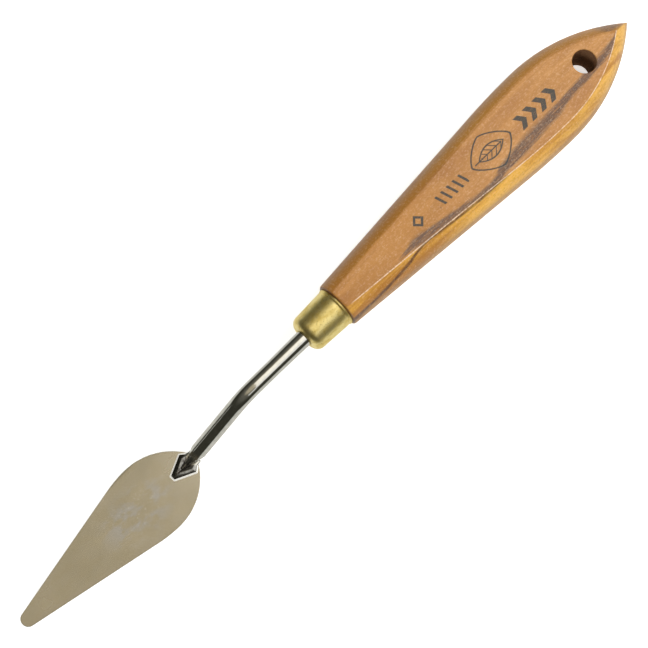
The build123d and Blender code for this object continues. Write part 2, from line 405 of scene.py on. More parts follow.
shankLook = dict(
    radius=2.0 * mm,
    tangTaper=5 * mm,
    tangPoint=0.4,               # radius factors, against the plain rod
    neckSwell=1.075,
    swellStart=2 * mm,           # inside the ferrule's mouth
    swellFull=0.4 * mm,
    neckTaper=10 * mm,
    neckLength=19.8 * mm,
    crankAngle=math.radians(45),
    upperBend=8 * mm,
    footMiddle=1.4 * mm,
    footLength=7.3 * mm,
    noseHalf=0.6 * mm,
    barbHalf=2.9 * mm,
    barbToNose=5.0 * mm,
    barbBack=1.1 * mm,
    # how the rod dies into the foot: (from the lower corner, height over the underside, radius factor)
    rodEnd=[(1.3 * mm, 2.7 * mm, 1.0), (-0.15 * mm, 1.65 * mm, 0.75), (-1.45 * mm, 1.15 * mm, 0.45),
            (-2.85 * mm, 0.95 * mm, 0.27), (-4.3 * mm, 0.85 * mm, 0.16)],
    tail=1.5 * mm,
    tailNarrow=0.9,
    wallHeight=0.45 * mm,
    bevelInset=(0.12 * mm, 0.1 * mm),
    crestInset=(0.3 * mm, 0.0),
    edgeRound=0.14 * mm,
    edgeAngle=math.radians(12),
    cutHeight=0.02 * mm,         # the rod ends this far over the foot's underside
    # crest points of the foot: (from the nose, half width, height over the underside)
    crest=[(1.4 * mm, 0.12 * mm, 1.05 * mm), (4.75 * mm, 1.8 * mm, 1.0 * mm),
           (5.9 * mm, 1.4 * mm, 0.65 * mm), (7.2 * mm, 1.35 * mm, 0.65 * mm)],
    dip=(3.5 * mm, 0.6 * mm),    # between the crests: (from the nose, height)
)


def shankRod(size):
    # the round rod as one bevelled curve, from the tang to where it dies into the foot
    footZ = shankLow.z + size["footMiddle"]
    drop = axisZ - footZ
    corner1 = Vector((mouthX - size["neckLength"], 0, axisZ))
    corner2 = Vector((corner1.x - drop / math.tan(size["crankAngle"]), 0, footZ))
    back = Vector((1, 0, 0))
    slope = (corner1 - corner2).normalized()
    half = math.tan(size["crankAngle"] / 2)
    bendStart = corner1 + back * size["upperBend"] * half
    bendEnd = corner1 - slope * size["upperBend"] * half
    bendHandles = arcHandles(bendStart, bendEnd, bendStart - Vector((0, 0, size["upperBend"])))
    tangEnd = Vector((shankHigh.x, 0, axisZ))
    tangRoot = tangEnd - back * size["tangTaper"]
    mouth = Vector((mouthX, 0, axisZ))
    neckEnd = mouth - back * size["neckTaper"]
    # stops along the rod: (place, radius factor)
    stops = [
        (tangEnd, size["tangPoint"]), (tangRoot, 1.0), (mouth + back * size["swellStart"], 1.0),
        (mouth + back * size["swellFull"], size["neckSwell"]), (mouth, size["neckSwell"]), (neckEnd, 1.0),
        (bendStart, 1.0), (bendEnd, 1.0),
    ]
    bendStop = len(stops) - 2
    for fromCorner, height, factor in size["rodEnd"]:
        stops.append((Vector((corner2.x + fromCorner, 0, shankLow.z + height)), factor))
    points = []
    for index, (place, factor) in enumerate(stops):
        before = place.lerp(stops[index - 1][0], 1 / 3) if index else place
        after = place.lerp(stops[index + 1][0], 1 / 3) if index < len(stops) - 1 else place
        points.append([place, before, after])
    points[bendStop][2], points[bendStop + 1][1] = bendHandles
    rod = bezierPath(points, flat=False, resolution=16)
    for knot, (place, factor) in zip(rod.data.splines[0].bezier_points, stops):
        knot.radius = factor
    rod.data.bevel_depth = size["radius"]
    rod.data.bevel_resolution = 10
    rod.data.use_fill_caps = True
    rod.data.twist_mode = "Z_UP"
    rod = toMesh(rod)
    cleanMesh(rod)
    return rod, corner2.x


def arrowFoot(size, noseX):
    # forged arrowhead: ridges from the nose to both barbs, and a dip between them
    barbX = noseX + size["barbToNose"]
    rootX = barbX + size["barbBack"]
    half = [(noseX, size["noseHalf"]), (barbX, size["barbHalf"]), (rootX, size["radius"]),
            (rootX + size["tail"], size["radius"] * size["tailNarrow"])]
    corners = [(x, -y) for x, y in half] + half[::-1]
    deselectAll()
    bpy.ops.mesh.primitive_circle_add(vertices=len(corners), radius=3 * mm, fill_type="NGON")
    foot = bpy.context.object
    for vert, (x, y) in zip(foot.data.vertices, corners):
        vert.co = (x, y, shankLow.z)
    editAll(foot)
    bpy.ops.mesh.extrude_region_move(TRANSFORM_OT_translate={"value": (0, 0, size["wallHeight"])})
    for thickness, depth in (size["bevelInset"], size["crestInset"]):
        bpy.ops.mesh.inset(thickness=thickness, depth=depth)
    leaveEdit()
    crest = {}
    for x, y, height in size["crest"]:
        for side in (-1, 1):
            crest[(noseX + x, side * y)] = shankLow.z + height
    inner = next(face for face in foot.data.polygons if face.select)
    centre = Vector((0, 0, 0))
    for index in inner.vertices:
        vert = foot.data.vertices[index]
        spot = min(crest, key=lambda place: math.hypot(place[0] - vert.co.x, place[1] - vert.co.y))
        vert.co = (*spot, crest.pop(spot))
        centre += vert.co / len(inner.vertices)
    focusOn(foot)
    bpy.ops.object.mode_set(mode="EDIT")
    bpy.ops.mesh.select_mode(type="FACE")
    bpy.ops.mesh.poke()
    leaveEdit()
    poked = min(foot.data.vertices, key=lambda vert: (vert.co - centre).length)
    dipX, dipHeight = size["dip"]
    poked.co = (noseX + dipX, 0, shankLow.z + dipHeight)
    cleanMesh(foot)
    return foot


def makeShank(size):
    rod, cornerX = shankRod(size)
    foot = arrowFoot(size, cornerX - size["footLength"])
    editAll(rod)
    bpy.ops.mesh.bisect(plane_co=(0, 0, shankLow.z + size["cutHeight"]), plane_no=(0, 0, 1), clear_inner=True,
                        use_fill=True, threshold=cutThreshold)
    leaveEdit()
    cleanMesh(rod)
    applyModifier(foot, "BEVEL", width=size["edgeRound"], segments=3, limit_method="ANGLE",
                  angle_limit=size["edgeAngle"])
    combine(rod, "UNION", foot)
    cleanMesh(rod, 0.002 * mm)
    return rod


shank = makeShank(shankLook)
settle(shank, "shankRod", 38)
print("shank forged:", len(shank.data.polygons), "faces")


bladeLook = dict(
    widestFromHeel=13.4 * mm,
    heelRadius=16 * mm,
    shoulderRadius=32 * mm,
    noseRadius=1.9 * mm,
    edgeRound=0.13 * mm,
)


def bladePath(size):
    # half of the outline, then its mirror image, as one closed curve
    halfWidth = bladeHigh.y
    widest = Vector((bladeHigh.x - size["widestFromHeel"], halfWidth, 0))
    heelCentre = widest - Vector((0, size["heelRadius"], 0))
    heel = Vector((bladeHigh.x, heelCentre.y
                   + math.sqrt(size["heelRadius"] ** 2 - size["widestFromHeel"] ** 2), 0))
    shoulderCentre = widest - Vector((0, size["shoulderRadius"], 0))
    noseCentre = Vector((bladeLow.x + size["noseRadius"], 0, 0))
    run = noseCentre - shoulderCentre
    lean = math.asin((size["shoulderRadius"] - size["noseRadius"]) / run.length)
    square = math.atan2(run.y, run.x) - (math.radians(90) - lean)
    out = Vector((math.cos(square), math.sin(square), 0))
    straight1 = shoulderCentre + out * size["shoulderRadius"]
    straight2 = noseCentre + out * size["noseRadius"]
    tip = Vector((bladeLow.x, 0, 0))
    heelOut, heelIn = arcHandles(heel, widest, heelCentre)
    shoulderOut, shoulderIn = arcHandles(widest, straight1, shoulderCentre)
    noseOut, noseIn = arcHandles(straight2, tip, noseCentre)
    upper = [
        (heel, heel, heelOut), (widest, heelIn, shoulderOut),
        (straight1, shoulderIn, straight1.lerp(straight2, 1 / 3)),
        (straight2, straight2.lerp(straight1, 1 / 3), noseOut),
        (tip, noseIn, Vector((noseIn.x, -noseIn.y, 0))),
    ]
    lower = [(Vector((p.x, -p.y, 0)), Vector((b.x, -b.y, 0)), Vector((a.x, -a.y, 0)))
             for p, a, b in reversed(upper[:-1])]
    path = bezierPath(upper + lower, resolution=32)
    path.data.splines[0].use_cyclic_u = True
    return path


def makeBlade(size):
    blade = bladePath(size)
    thickness = bladeHigh.z - bladeLow.z
    blade.data.fill_mode = "BOTH"
    blade.data.extrude = thickness / 2 - size["edgeRound"]
    blade.data.bevel_depth = size["edgeRound"]
    blade.data.bevel_resolution = 2
    blade.data.offset = -size["edgeRound"]
    blade.location.z = bladeLow.z + thickness / 2
    blade = toMesh(blade)
    cleanMesh(blade)
    return blade


blade = makeBlade(bladeLook)
settle(blade, "bladeSteel", 35)
applyModifier(blade, "WEIGHTED_NORMAL", mode="FACE_AREA", weight=80, keep_sharp=True)
print("blade cut:", len(blade.data.polygons), "faces")


def newMaterial(name):
    # returns the material, its shader and the place on the object in millimetres
    material = bpy.data.materials.new(name)
    material.use_nodes = True
    tree = material.node_tree
    tree.nodes.clear()
    output = addNode(tree, "ShaderNodeOutputMaterial")
    shader = addNode(tree, "ShaderNodeBsdfPrincipled")
    tree.links.new(shader.outputs["BSDF"], output.inputs["Surface"])
    return material, shader, placeInMm(tree)


def addNode(tree, kind, links=None, values=None, **settings):
    # a node with its settings, its linked sockets and its typed-in values
    node = tree.nodes.new(kind)
    for key, value in settings.items():
        setattr(node, key, value)
    for key, value in (values or {}).items():
        node.inputs[key].default_value = value
    for key, socket in (links or {}).items():
        tree.links.new(socket, node.inputs[key])
    return node


def plug(value, socket):
    # link a socket, or type in a number or colour
    if isinstance(value, bpy.types.NodeSocket):
        socket.id_data.links.new(value, socket)
    elif isinstance(value, tuple):
        socket.default_value = (*value, 1)
    else:
        socket.default_value = value


def calc(operation, *terms):
    tree = next(term.id_data for term in terms if isinstance(term, bpy.types.NodeSocket))
    node = addNode(tree, "ShaderNodeMath", operation=operation)
    for index, term in enumerate(terms):
        plug(term, node.inputs[index])
    return node.outputs[0]


def ramp(factor, stops):
    node = addNode(factor.id_data, "ShaderNodeValToRGB", {"Fac": factor})
    elements = node.color_ramp.elements
    while len(elements) < len(stops):
        elements.new(0.5)
    for element, (place, colour) in zip(elements, stops):
        element.position = place
        element.color = (*colour, 1)
    return node.outputs["Color"]


def band(value, low, high, outLow=0.0, outHigh=1.0):
    # a smooth step from low to high; it falls where low is the larger
    node = addNode(value.id_data, "ShaderNodeMapRange", {"Value": value},
                   {"From Min": low, "From Max": high, "To Min": outLow, "To Max": outHigh},
                   interpolation_type="SMOOTHSTEP")
    return node.outputs["Result"]


def inverse(mask):
    return calc("SUBTRACT", 1.0, mask)


def between(value, low, high, soft):
    # 1 inside low to high, with soft edges
    return calc("MULTIPLY", band(value, low - soft, low + soft),
                inverse(band(value, high - soft, high + soft)))


def away(value, middle):
    return calc("ABSOLUTE", calc("SUBTRACT", value, middle))


def over(value, size, power):
    return calc("POWER", calc("DIVIDE", value, size), power)


def allOf(*masks):
    result = masks[0]
    for mask in masks[1:]:
        result = calc("MULTIPLY", result, mask)
    return result


def blendColour(factor, first, second, mode="MIX"):
    node = addNode(factor.id_data, "ShaderNodeMix", {0: factor}, data_type="RGBA", blend_type=mode)
    plug(first, node.inputs[6])
    plug(second, node.inputs[7])
    return node.outputs[2]


def tint(base, mask, amount, colour):
    # lay a colour over the base where the mask is, at most by the amount
    return blendColour(calc("MULTIPLY", mask, amount), base, colour)


def placeInMm(tree):
    place = addNode(tree, "ShaderNodeTexCoord").outputs["Object"]
    return addNode(tree, "ShaderNodeVectorMath", {0: place}, {3: 1 / mm}, operation="SCALE").outputs[0]


def splitPlace(place):
    return addNode(place.id_data, "ShaderNodeSeparateXYZ", {0: place}).outputs


def stretchedNoise(place, scale, detail, roughness=0.5, distortion=0.0, offset=(0, 0, 0)):
    tree = place.id_data
    mapping = addNode(tree, "ShaderNodeMapping", {"Vector": place}, {"Scale": scale, "Location": offset})
    noise = addNode(tree, "ShaderNodeTexNoise", {"Vector": mapping.outputs[0]},
                    {"Scale": 1.0, "Detail": detail, "Roughness": roughness, "Distortion": distortion})
    return noise.outputs["Fac"]


def noisesFrom(place, look, *names):
    return [stretchedNoise(place, **look[name]) for name in names]


def dress(shader, inputs, height, depth, strength):
    # fill the shader's sockets, with the height as bump of the depth in millimetres
    bump = addNode(shader.id_data, "ShaderNodeBump", {"Height": height},
                   {"Strength": strength, "Distance": depth * mm})
    for name, value in {**inputs, "Normal": bump.outputs[0]}.items():
        plug(value, shader.inputs[name])


def useMaterial(thing, material):
    thing.data.materials.clear()
    thing.data.materials.append(material)


# all places and spans in the material settings are in millimetres
woodLook = dict(
    tan=(0.475, 0.214, 0.056),
    light=(0.585, 0.28, 0.084),
    brown=(0.42, 0.180, 0.049),
    # gold, honey and amber paint the lower flank as lit; olive paints the upper flank as shaded
    gold=(0.80, 0.45, 0.085),
    honey=(1.0, 0.56, 0.095),
    amber=(0.50, 0.22, 0.036),
    # painted shade for the lower flank's outer edge
    rim=(0.42, 0.225, 0.085),
    olive=(0.45, 0.20, 0.028),
    # dark heartwood marks, also used as painted shade inside the hang hole
    heartwoodAndShade=(0.075, 0.028, 0.014),
    smoke=(0.105, 0.062, 0.052),
    worn=(0.88, 0.63, 0.40),
    # wear and painted highlight on the lower edge of the flat
    arrisWearAndGlint=(0.93, 0.74, 0.58),
    nearBrass=(0.90, 0.84, 0.64),   # multiplies the half next to the ferrule
    ink=(0.036, 0.047, 0.050),
    # dark end grain of the hang hole, painted darker as shade
    hole=(0.14, 0.068, 0.034),
    holeLight=(0.34, 0.19, 0.10),
    # grain: slow figure, streaks along the length, short bright fibres, and rays across
    figure=dict(scale=(0.035, 0.30, 0.30), detail=3.0, roughness=0.55, distortion=0.6, offset=(7, 3, 5)),
    streaks=dict(scale=(0.10, 1.9, 1.9), detail=4.0, roughness=0.6, distortion=0.4),
    fibre=dict(scale=(1.0, 7.5, 7.5), detail=4.0, roughness=0.7, distortion=0.2, offset=(4, 1, 2)),
    ray=dict(scale=(2.2, 0.5, 0.5), detail=3.0, roughness=0.6, distortion=0.6, offset=(2, 6, 3)),
    mottle=dict(scale=(0.16, 0.22, 0.22), detail=3.0, offset=(5, 2, 9)),
    grit=dict(scale=(1.5, 2.2, 2.2), detail=3.0, roughness=0.7, distortion=0.3, offset=(6, 8, 3)),
    strand=dict(scale=(0.22, 3.4, 3.4), detail=4.0, roughness=0.7, distortion=0.5, offset=(9, 4, 1)),
    holeGrain=dict(scale=(0.6, 2.5, 2.5), detail=4.0, roughness=0.6),
    # along the handle
    wearSpan=(25.0, 60.0, 0.0, 0.16),
    paleSpan=(40.0, 62.0, 0.0, 0.18),
    honeySpan=(36.0, 66.0, 8.0),
    brassSpan=(50.0, 26.0),
    smokeSpan=(17.0, 21.0),
    coreSpan=(24.0, 34.0),
    tipSpan=(94.5, 99.5, 1.5),
    lineEnd=(53.0, 49.0),
    arrisStart=(2.0, 5.0),
    jointSpan=(0.30, 0.04),         # from the shoulder
    # up and down: distance under the flat, or from the middle line
    flatEdge=(0.20, 0.08),
    arrisEdge=(0.17, 0.05, 0.02),
    rimRise=(3.6, 1.6),
    inkDepth=(0.10, 0.03),
    holeWall=(3.12, 3.02),
    holeDepth=(0.15, 0.35),
    # heartwood smoke on the top flat: x, middle y and half width
    smokeMiddle=[(18, -3.3), (22, -3.1), (25, -3.1), (27, -3.3), (31, -3.9), (35, -4.65), (39, -5.35),
                 (44, -5.9), (49, -5.8), (52, -4.95), (57, -4.7), (62, -4.35), (67, -4.1), (72, -3.85),
                 (77, -3.25), (82, -3.0), (88, -2.45), (93, -2.0), (97, -0.9), (102, 0.0)],
    smokeHalf=[(18, 0.2), (22, 0.75), (25, 1.2), (31, 0.95), (44, 0.9), (49, 1.0), (52, 1.2), (57, 1.5),
               (62, 1.6), (67, 1.35), (72, 1.25), (77, 0.95), (82, 1.0), (88, 1.1), (93, 1.1), (97, 0.8),
               (102, 0.3)],
    # thin dark line that runs along the lower flank and then under the flat's worn edge
    darkLine=[(1, -5.5), (6, -5.7), (10, -5.72), (15, -5.6), (19, -5.35), (21.5, -5.0), (24, -4.65),
              (26, -4.6), (30, -5.05), (35.7, -5.7), (39.4, -6.05), (43, -6.3), (49.2, -6.6), (55, -7.0)],
    lineHalf=(0.10, 0.50),
    curveLength=110.0,              # the curves above are drawn over this length
    yRange=(-8.0, 0.0),
    halfRange=(0.0, 2.0),
    coat=0.25,
    coatRoughness=0.22,
    grainDepth=0.03,
    holeRoughness=0.95,
    holeSpecular=0.08,
    holeRelief=0.05,
)

inkLook = dict(
    soft=0.07,
    diamondMiddle=(28.1, 0.25),
    diamondReach=1.75,
    diamondLine=(0.52, 1.0, 0.04),  # as shares of the reach
    strokeSpan=(34.3, 44.0),
    strokeRise=(-1.4, 1.55),
    strokeSlant=0.3,
    strokePitch=1.95,
    strokeLine=(0.12, 0.46, 0.03),  # as shares of the pitch, as for the ribs and chevrons
    lozengeMiddle=(53.1, 0.2),
    lozengeReach=(6.7, 4.9),
    lozengePower=1.35,
    lozengeLine=(0.90, 1.0, 0.02),
    leafReach=4.3,
    leafHalf=1.9,
    leafLine=(-0.38, 0.0),
    leafSpan=(48.7, 57.5),
    veinLine=(-1.0, 0.16),
    veinSpan=(47.6, 56.4),
    ribPitch=1.55,
    ribLine=(0.3, 0.52, 0.04),
    ribEdge=(-9.0, -0.3),
    ribSpan=(50.0, 56.6),
    chevronMiddle=0.1,
    chevronSlant=0.75,
    chevronSpan=(63.6, 76.6),
    chevronRise=(-1.8, 2.0),
    chevronPitch=3.3,
    chevronLine=(0.02, 0.50, 0.02),
)


def alongHandle(x, points, low, high):
    # float curve over x, with values between low and high
    length = woodLook["curveLength"]
    node = addNode(x.id_data, "ShaderNodeFloatCurve", {"Value": calc("DIVIDE", x, length)})
    curve = node.mapping.curves[0]
    while len(curve.points) < len(points):
        curve.points.new(0.5, 0.5)
    for knot, (px, py) in zip(curve.points, points):
        knot.location = (px / length, (py - low) / (high - low))
    node.mapping.update()
    return calc("MULTIPLY_ADD", node.outputs[0], high - low, low)


def inkMarks(x, y, look):
    # plain printed ornament: a small diamond, slanted strokes, a leaf in a lozenge, and chevrons
    soft = look["soft"]
    middleX, middleY = look["diamondMiddle"]
    reach = look["diamondReach"]
    diamond = calc("ADD", calc("DIVIDE", away(x, middleX), reach), calc("DIVIDE", away(y, middleY), reach))
    diamond = between(diamond, *look["diamondLine"])
    slant = calc("MULTIPLY_ADD", y, look["strokeSlant"], x)
    slant = calc("FRACT", calc("DIVIDE", slant, look["strokePitch"]))
    strokes = allOf(between(slant, *look["strokeLine"]), between(x, *look["strokeSpan"], soft),
                    between(y, *look["strokeRise"], soft))
    middleX, middleY = look["lozengeMiddle"]
    fromMiddle = away(y, middleY)
    reachX, reachY = look["lozengeReach"]
    lozenge = calc("ADD", over(away(x, middleX), reachX, look["lozengePower"]),
                   over(fromMiddle, reachY, look["lozengePower"]))
    ring = between(lozenge, *look["lozengeLine"])
    bow = inverse(over(away(x, middleX), look["leafReach"], 2.0))
    edge = calc("SUBTRACT", fromMiddle, calc("MULTIPLY", bow, look["leafHalf"]))
    leaf = allOf(between(edge, *look["leafLine"], soft), between(x, *look["leafSpan"], soft))
    vein = allOf(between(fromMiddle, *look["veinLine"], soft), between(x, *look["veinSpan"], soft))
    rib = calc("FRACT", calc("DIVIDE", calc("ADD", x, fromMiddle), look["ribPitch"]))
    ribs = allOf(between(rib, *look["ribLine"]), between(edge, *look["ribEdge"], soft),
                 between(x, *look["ribSpan"], soft))
    fromMiddle = away(y, look["chevronMiddle"])
    start = look["chevronSpan"][0]
    arrow = calc("MULTIPLY_ADD", fromMiddle, look["chevronSlant"], calc("SUBTRACT", x, start))
    arrow = calc("FRACT", calc("DIVIDE", arrow, look["chevronPitch"]))
    leaning = calc("MULTIPLY_ADD", fromMiddle, look["chevronSlant"], x)
    chevrons = allOf(between(arrow, *look["chevronLine"]), between(leaning, *look["chevronSpan"], soft),
                     between(y, *look["chevronRise"], soft))
    marks = diamond
    for mark in (strokes, ring, leaf, vein, ribs, chevrons):
        marks = calc("MAXIMUM", marks, mark)
    return marks


def oliveWood(look):
    material, shader, place = newMaterial("oliveWood")
    x, y, z = splitPlace(place)
    middleZ = axisZ / mm
    flatHalf = (handleHigh.z - handleLow.z) / mm / 2
    rise = away(z, middleZ)
    # towards the belly the flat is worn a little further out
    edgeRise = calc("ADD", rise, band(x, *look["wearSpan"]))
    onFlat = band(edgeRise, *(flatHalf - depth for depth in look["flatEdge"]))
    lower = band(y, 0.4, -0.4)
    figure, streaks, fibre, ray = noisesFrom(place, look, "figure", "streaks", "fibre", "ray")
    mottle, grit, strand = noisesFrom(place, look, "mottle", "grit", "strand")
    # the flats
    flat = ramp(figure, [(0.34, look["brown"]), (0.47, look["tan"]), (0.62, look["light"])])
    flat = blendColour(band(x, *look["paleSpan"]), flat, look["light"])
    flat = tint(flat, band(mottle, 0.45, 0.65), 0.45, look["light"])
    flat = tint(flat, band(streaks, 0.50, 0.68), 0.30, look["brown"])
    # painted light and shade: the lower flank is painted in gold as lit, and the upper one darker as painted
    # shade
    litGolden = ramp(figure, [(0.36, look["amber"]), (0.52, look["gold"])])
    litGolden = tint(litGolden, band(streaks, 0.52, 0.70), 0.35, look["amber"])
    litGolden = tint(litGolden, between(x, *look["honeySpan"]), 0.30, look["honey"])
    # painted shade along the lit flank's outer edge, towards the middle line
    litGolden = tint(litGolden, band(rise, *look["rimRise"]), 0.75, look["rim"])
    shaded = tint(look["olive"], band(streaks, 0.45, 0.65), 0.4, look["brown"])
    flank = blendColour(lower, shaded, litGolden)
    body = blendColour(onFlat, flank, flat)
    body = blendColour(band(x, *look["brassSpan"]), body, look["nearBrass"], "MULTIPLY")
    # smoke of the heartwood, in filaments, with a darker core
    middle = alongHandle(x, look["smokeMiddle"], *look["yRange"])
    halfWidth = alongHandle(x, look["smokeHalf"], *look["halfRange"])
    sway = calc("SUBTRACT", streaks, 0.5)
    off = calc("ADD", calc("SUBTRACT", y, middle), calc("MULTIPLY", sway, 1.6))
    off = calc("DIVIDE", off, halfWidth)
    smoke = inverse(band(calc("ABSOLUTE", off), 0.45, 1.35))
    smoke = allOf(smoke, onFlat, band(strand, 0.32, 0.54, 0.5, 1.0), band(x, *look["smokeSpan"]))
    body = tint(body, smoke, 0.95, look["smoke"])
    core = inverse(band(calc("ABSOLUTE", calc("ADD", off, 0.3)), 0.1, 0.8))
    core = allOf(core, onFlat, band(strand, 0.48, 0.60), band(x, *look["coreSpan"]))
    body = tint(body, core, 0.6, look["heartwoodAndShade"])
    # the smoke comes out again on the upper flank beside the tip
    tipPatch = allOf(inverse(onFlat), band(y, 0.3, 0.9), band(strand, 0.36, 0.56, 0.3, 1.0),
                     between(x, *look["tipSpan"]))
    body = tint(body, tipPatch, 0.8, look["smoke"])
    # thin dark line
    line = alongHandle(x, look["darkLine"], *look["yRange"])
    near = calc("ADD", calc("SUBTRACT", y, line), calc("MULTIPLY", sway, 0.5))
    thin = inverse(band(calc("ABSOLUTE", near), *look["lineHalf"]))
    thin = allOf(thin, band(x, *look["lineEnd"]), band(z, middleZ, middleZ + 1.5))
    body = tint(body, thin, band(strand, 0.35, 0.55, 0.55, 0.95), look["heartwoodAndShade"])
    # fibres, rays and grit
    for mask, amount, colour in ((band(fibre, 0.55, 0.70), 0.20, "worn"),
                                 (band(fibre, 0.46, 0.28), 0.42, "brown"),
                                 (band(ray, 0.60, 0.72), 0.12, "worn"),
                                 (band(grit, 0.50, 0.68), 0.22, "worn"),
                                 (band(grit, 0.48, 0.32), 0.45, "brown")):
        body = tint(body, mask, amount, look[colour])
    # dark line where the wood meets the brass
    joint = band(x, *(shoulderX / mm + reach for reach in look["jointSpan"]))
    body = tint(body, joint, 0.75, look["heartwoodAndShade"])
    # worn lower edge of the flat with a painted highlight along it, only on the lower, lit side
    arrisLow, arrisHigh, arrisSoft = look["arrisEdge"]
    arrisWearAndGlint = allOf(between(edgeRise, flatHalf - arrisLow, flatHalf - arrisHigh, arrisSoft), lower,
                  band(ray, 0.36, 0.58, 0.25, 1.0), band(x, *look["arrisStart"]))
    body = tint(body, arrisWearAndGlint, 0.85, look["arrisWearAndGlint"])
    # printed marks on the top flat, a little worn by the fibres
    onTop = band(z, *(middleZ + flatHalf - depth for depth in look["inkDepth"]))
    ink = allOf(inkMarks(x, y, inkLook), onTop, band(fibre, 0.66, 0.50, 0.72, 0.94))
    body = blendColour(ink, body, look["ink"])
    # dark ring inside the hang hole: darker end grain, with painted shade in the hole
    holeX = (handleHigh.x - handleLook["holeToTip"]) / mm
    fromHole = calc("ADD", calc("POWER", calc("SUBTRACT", x, holeX), 2.0), calc("POWER", y, 2.0))
    inHole = allOf(band(calc("SQRT", fromHole), *look["holeWall"]),
                   band(rise, *(flatHalf - depth for depth in look["holeDepth"])))
    body = blendColour(inHole, body, look["heartwoodAndShade"])
    rough = calc("ADD", band(streaks, 0.3, 0.7, 0.40, 0.52), calc("MULTIPLY", ink, 0.1))
    grain = calc("ADD", fibre, calc("MULTIPLY", calc("ADD", ray, grit), 0.6))
    dress(shader, {"Base Color": body, "Roughness": rough, "Coat Weight": look["coat"],
                   "Coat Roughness": look["coatRoughness"]}, grain, look["grainDepth"], 0.55)
    return material


def rawHole(look):
    # dull, dark end grain on the wall of the hang hole, painted darker still as the shade inside the hole
    material, shader, place = newMaterial("rawHole")
    fibre = stretchedNoise(place, **look["holeGrain"])
    colour = ramp(fibre, [(0.3, look["hole"]), (0.7, look["holeLight"])])
    dress(shader, {"Base Color": colour, "Roughness": look["holeRoughness"],
                   "Specular IOR Level": look["holeSpecular"]}, fibre, look["holeRelief"], 0.5)
    return material


brassLook = dict(
    dull=(0.83, 0.64, 0.20),
    bright=(1.0, 0.83, 0.36),
    pit=(0.40, 0.29, 0.10),
    stains=dict(scale=(0.35, 0.6, 0.6), detail=4.0, roughness=0.6, distortion=0.5),
    drawn=dict(scale=(0.5, 9.0, 9.0), detail=3.0, roughness=0.6),
    pits=dict(scale=(2.2, 3.0, 3.0), detail=3.0, roughness=0.7, offset=(3, 8, 1)),
    roughness=(0.46, 0.38),
    depth=0.012,
)


def drawnBrass(look):
    material, shader, place = newMaterial("drawnBrass")
    stain, drawn, pits = noisesFrom(place, look, "stains", "drawn", "pits")
    colour = ramp(stain, [(0.35, look["dull"]), (0.6, look["bright"])])
    colour = tint(colour, band(pits, 0.57, 0.68), 0.6, look["pit"])
    rough = band(stain, 0.3, 0.7, *look["roughness"])
    relief = calc("ADD", drawn, calc("MULTIPLY", pits, 1.5))
    dress(shader, {"Base Color": colour, "Metallic": 1.0, "Roughness": rough}, relief, look["depth"], 0.6)
    return material


plateLook = dict(
    dull=(0.51, 0.50, 0.46),
    bright=(0.61, 0.60, 0.56),
    heatStainAndShade=(0.055, 0.045, 0.038),
    haze=dict(scale=(0.8, 0.8, 0.8), detail=3.0, roughness=0.6),
    ripple=dict(scale=(0.15, 1.2, 1.2), detail=2.0),
    scale=dict(scale=(1.3, 1.6, 1.6), detail=4.0, roughness=0.6, distortion=0.4, offset=(4, 7, 2)),
    burntSpan=(6.6, 5.0),           # from the foot's nose
    litSide=(-1.6, -0.2, 0.6, 1.0),
    roughness=(0.06, 0.14),
    depth=0.02,
)


def brightPlate(look):
    material, shader, place = newMaterial("brightPlate")
    x, y = splitPlace(place)[:2]
    haze, ripple, scale = noisesFrom(place, look, "haze", "ripple", "scale")
    plate = ramp(haze, [(0.35, look["dull"]), (0.65, look["bright"])])
    # the foot is blackened by the brazing heat, in patches, and painted less dark on the lamp side: painted
    # shade on the far side
    onFoot = band(x, *(shankLow.x / mm + reach for reach in look["burntSpan"]))
    heatStainAndShade = allOf(onFoot, band(scale, 0.62, 0.42, 0.6, 1.0), band(y, *look["litSide"]))
    colour = tint(plate, heatStainAndShade, 0.95, look["heatStainAndShade"])
    rough = band(haze, 0.3, 0.7, *look["roughness"])
    dress(shader, {"Base Color": colour, "Metallic": 1.0, "Roughness": rough}, ripple, look["depth"], 0.5)
    return material


steelLook = dict(
    dull=(0.475, 0.427, 0.325),
    bright=(0.54, 0.484, 0.375),
    bloom=(0.52, 0.53, 0.59),
    speck=(0.86, 0.85, 0.82),
    haze=dict(scale=(0.05, 0.08, 0.08), detail=3.0, roughness=0.55),
    smudges=dict(scale=(0.2, 0.34, 0.3), detail=4.0, roughness=0.6, offset=(3, 5, 1)),
    specks=dict(scale=(2.3, 2.6, 2.6), detail=4.0, roughness=0.7, offset=(8, 2, 6)),
    polish=dict(scale=(0.35, 9.0, 1.0), detail=3.0, roughness=0.6),
    thumbX=-65.0,                   # the handled patch in the wide part
    thumbReach=(13.0, 7.5),
    thumbFade=(1.0, 0.35, 0.12, 1.0),
    metallic=0.85,
    roughness=(0.22, 0.28),
    depth=0.004,
)


def springSteel(look):
    material, shader, place = newMaterial("springSteel")
    x, y = splitPlace(place)[:2]
    haze, smudge, speck, polish = noisesFrom(place, look, "haze", "smudges", "specks", "polish")
    colour = ramp(haze, [(0.35, look["dull"]), (0.65, look["bright"])])
    # thumbed and wiped in the middle of the wide part
    reachX, reachY = look["thumbReach"]
    fromThumb = calc("ADD", over(calc("SUBTRACT", x, look["thumbX"]), reachX, 2.0), over(y, reachY, 2.0))
    thumbed = band(calc("SQRT", fromThumb), *look["thumbFade"])
    colour = tint(colour, allOf(band(smudge, 0.40, 0.60), thumbed), 0.55, look["bloom"])
    colour = tint(colour, allOf(band(speck, 0.60, 0.68), thumbed), 0.6, look["speck"])
    rough = band(haze, 0.3, 0.7, *look["roughness"])
    dress(shader, {"Base Color": colour, "Metallic": look["metallic"], "Roughness": rough},
          polish, look["depth"], 0.2)
    return material


